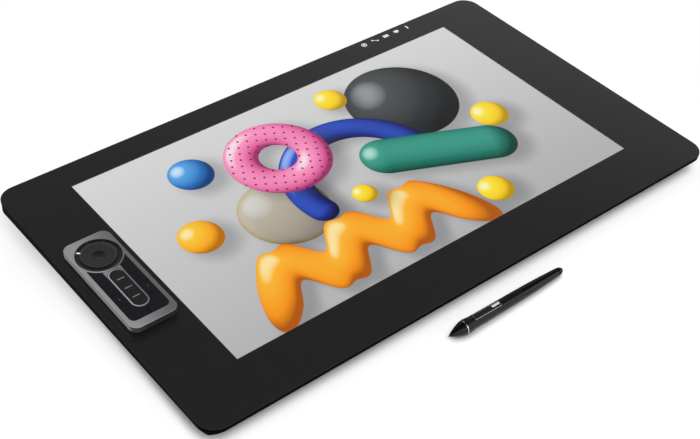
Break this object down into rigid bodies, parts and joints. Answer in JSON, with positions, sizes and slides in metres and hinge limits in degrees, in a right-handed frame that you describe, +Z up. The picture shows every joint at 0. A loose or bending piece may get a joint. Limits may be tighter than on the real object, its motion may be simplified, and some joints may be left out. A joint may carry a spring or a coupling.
{
  "type": "graphics tablet with screen",
  "caption": "Wide desk graphics tablet with a glass-fronted screen, fold-out legs, cooling fans, a key remote held on its border and a pressure pen with a rocker switch.",
  "frame": {"origin": "on the desk, under the middle of the box round the tablet and its pen", "axes": "+X to the user's right along the tablet's width, +Y from the user to the rear, +Z up from the desk"},
  "size_m": [0.664, 0.4188, 0.0496],
  "materials": {
    "glass": "etched matte",
    "border_black": "black print behind glass",
    "display": "lit picture",
    "diffuser_white": "white sheet stack",
    "board_green": "solder mask",
    "chassis_aluminium": "pressed sheet",
    "frame_black": "black coated",
    "housing_black": "fine grained",
    "magnet_steel": "nickel plated",
    "lamp_white": "lit diffuser",
    "port_metal": "plated shells",
    "switch_black": "moulded",
    "chip_black": "moulded packages",
    "sink_aluminium": "extruded fins",
    "fan_black": "moulded",
    "rubber_black": "soft matte",
    "screw_black": "blackened",
    "insert_brass": "knurled",
    "pin_steel": "ground",
    "leg_black": "fine grained",
    "button_black": "satin",
    "remote_grey": "satin metallic grey",
    "ring_black": "satin",
    "key_black": "satin",
    "battery_foil": "pouch foil",
    "grip_rubber": "soft matte",
    "pen_black": "glossy",
    "pen_silver": "polished",
    "core_brown": "wound ferrite",
    "nib_grey": "moulded"
  },
  "bodies": {
    "tablet": {"cover_glass": "glass", "border_print": "border_black", "lcd_panel": "display", "backlight": "diffuser_white", "pen_sensor": "board_green", "chassis_tray": "chassis_aluminium", "chassis_frame": "frame_black", "rear_cover": "housing_black", "bezel_magnets": "magnet_steel", "key_lamps": "lamp_white", "io_board": "board_green", "rear_ports": "port_metal", "edge_switches": "switch_black", "main_board": "board_green", "board_chips": "chip_black", "heat_sink": "sink_aluminium", "fan_housings": "fan_black", "rubber_feet": "rubber_black", "cover_screws": "screw_black", "stand_inserts": "insert_brass", "hinge_pins": "pin_steel"},
    "left_leg": {"left_leg": "leg_black", "left_leg_pad": "rubber_black"},
    "right_leg": {"right_leg": "leg_black", "right_leg_pad": "rubber_black"},
    "power_button": {"power_button": "button_black"},
    "touch_switch": {"touch_switch": "button_black"},
    "left_fan": {"left_fan_rotor": "fan_black"},
    "right_fan": {"right_fan_rotor": "fan_black"},
    "remote": {"remote_base": "remote_grey", "remote_frame": "remote_grey", "touch_ring": "ring_black", "ring_lamps": "lamp_white", "remote_board": "board_green", "key_domes": "pin_steel", "remote_battery": "battery_foil", "remote_port": "port_metal", "remote_pads": "rubber_black"},
    "pen": {"pen_cone": "pen_black", "pen_ring": "pen_silver", "pen_grip": "grip_rubber", "pen_barrel": "pen_black", "pen_core": "core_brown", "rocker_pin": "pin_steel"},
    "pen_nib": {"pen_nib": "nib_grey"},
    "pen_rocker": {"pen_rocker": "button_black"},
    "pen_eraser": {"pen_eraser": "button_black"},
    "ring_button": {"ring_button": "key_black"},
    "strip_key_1": {"strip_key_1": "key_black"},
    "strip_key_2": {"strip_key_2": "key_black"},
    "strip_key_3": {"strip_key_3": "key_black"},
    "left_key_1": {"left_key_1": "key_black"},
    "left_key_2": {"left_key_2": "key_black"},
    "left_key_3": {"left_key_3": "key_black"},
    "left_corner_key": {"left_corner_key": "key_black"},
    "right_key_1": {"right_key_1": "key_black"},
    "right_key_2": {"right_key_2": "key_black"},
    "right_key_3": {"right_key_3": "key_black"},
    "right_corner_key": {"right_corner_key": "key_black"}
  },
  "joints": [
    {"name": "left_leg_hinge", "type": "hinge", "parent": "tablet", "child": "left_leg", "pos_m": [-0.235, 0.13965, 0.0072], "axis": [1, 0, 0], "range_deg": [0, 100]},
    {"name": "right_leg_hinge", "type": "hinge", "parent": "tablet", "child": "right_leg", "pos_m": [0.235, 0.13965, 0.0072], "axis": [1, 0, 0], "range_deg": [0, 100]},
    {"name": "power_button_push", "type": "slide", "parent": "tablet", "child": "power_button", "axis": [0, -0.9981, -0.061], "range_m": [0, 0.0005], "stiffness_N_per_m": 800},
    {"name": "touch_switch_slide", "type": "slide", "parent": "tablet", "child": "touch_switch", "axis": [1, 0, 0], "range_m": [0, 0.003]},
    {"name": "left_fan_spin", "type": "hinge", "parent": "tablet", "child": "left_fan", "pos_m": [-0.14, 0.11965, 0.0049], "axis": [0, 0, 1], "continuous": true},
    {"name": "right_fan_spin", "type": "hinge", "parent": "tablet", "child": "right_fan", "pos_m": [0.14, 0.11965, 0.0049], "axis": [0, 0, 1], "continuous": true},
    {"name": "remote_lift", "type": "slide", "parent": "tablet", "child": "remote", "axis": [0, -0.061, 0.9981], "range_m": [0, 0.15]},
    {"name": "ring_button_press", "type": "slide", "parent": "remote", "child": "ring_button", "axis": [0, 0.061, -0.9981], "range_m": [0, 0.0006], "stiffness_N_per_m": 1200},
    {"name": "strip_key_1_press", "type": "slide", "parent": "remote", "child": "strip_key_1", "axis": [0, 0.061, -0.9981], "range_m": [0, 0.0006], "stiffness_N_per_m": 1200},
    {"name": "strip_key_2_press", "type": "slide", "parent": "remote", "child": "strip_key_2", "axis": [0, 0.061, -0.9981], "range_m": [0, 0.0006], "stiffness_N_per_m": 1200},
    {"name": "strip_key_3_press", "type": "slide", "parent": "remote", "child": "strip_key_3", "axis": [0, 0.061, -0.9981], "range_m": [0, 0.0006], "stiffness_N_per_m": 1200},
    {"name": "left_key_1_press", "type": "slide", "parent": "remote", "child": "left_key_1", "axis": [0, 0.061, -0.9981], "range_m": [0, 0.0006], "stiffness_N_per_m": 1200},
    {"name": "left_key_2_press", "type": "slide", "parent": "remote", "child": "left_key_2", "axis": [0, 0.061, -0.9981], "range_m": [0, 0.0006], "stiffness_N_per_m": 1200},
    {"name": "left_key_3_press", "type": "slide", "parent": "remote", "child": "left_key_3", "axis": [0, 0.061, -0.9981], "range_m": [0, 0.0006], "stiffness_N_per_m": 1200},
    {"name": "left_corner_key_press", "type": "slide", "parent": "remote", "child": "left_corner_key", "axis": [0, 0.061, -0.9981], "range_m": [0, 0.0006], "stiffness_N_per_m": 1200},
    {"name": "right_key_1_press", "type": "slide", "parent": "remote", "child": "right_key_1", "axis": [0, 0.061, -0.9981], "range_m": [0, 0.0006], "stiffness_N_per_m": 1200},
    {"name": "right_key_2_press", "type": "slide", "parent": "remote", "child": "right_key_2", "axis": [0, 0.061, -0.9981], "range_m": [0, 0.0006], "stiffness_N_per_m": 1200},
    {"name": "right_key_3_press", "type": "slide", "parent": "remote", "child": "right_key_3", "axis": [0, 0.061, -0.9981], "range_m": [0, 0.0006], "stiffness_N_per_m": 1200},
    {"name": "right_corner_key_press", "type": "slide", "parent": "remote", "child": "right_corner_key", "axis": [0, 0.061, -0.9981], "range_m": [0, 0.0006], "stiffness_N_per_m": 1200},
    {"name": "pen_lift", "type": "slide", "parent": "tablet", "child": "pen", "axis": [0, 0, 1], "range_m": [0, 0.15]},
    {"name": "nib_press", "type": "slide", "parent": "pen", "child": "pen_nib", "axis": [0.9997, 0.014, -0.0184], "range_m": [0, 0.0005], "stiffness_N_per_m": 1500},
    {"name": "eraser_press", "type": "slide", "parent": "pen", "child": "pen_eraser", "axis": [-0.9997, -0.014, 0.0184], "range_m": [0, 0.001], "stiffness_N_per_m": 900},
    {"name": "rocker_tilt", "type": "hinge", "parent": "pen", "child": "pen_rocker", "pos_m": [-0.02871, -0.20197, 0.01205], "axis": [-0.0123, 0.9961, 0.0871], "range_deg": [-1.5, 1.5], "stiffness_Nm_per_rad": 0.05}
  ]
}
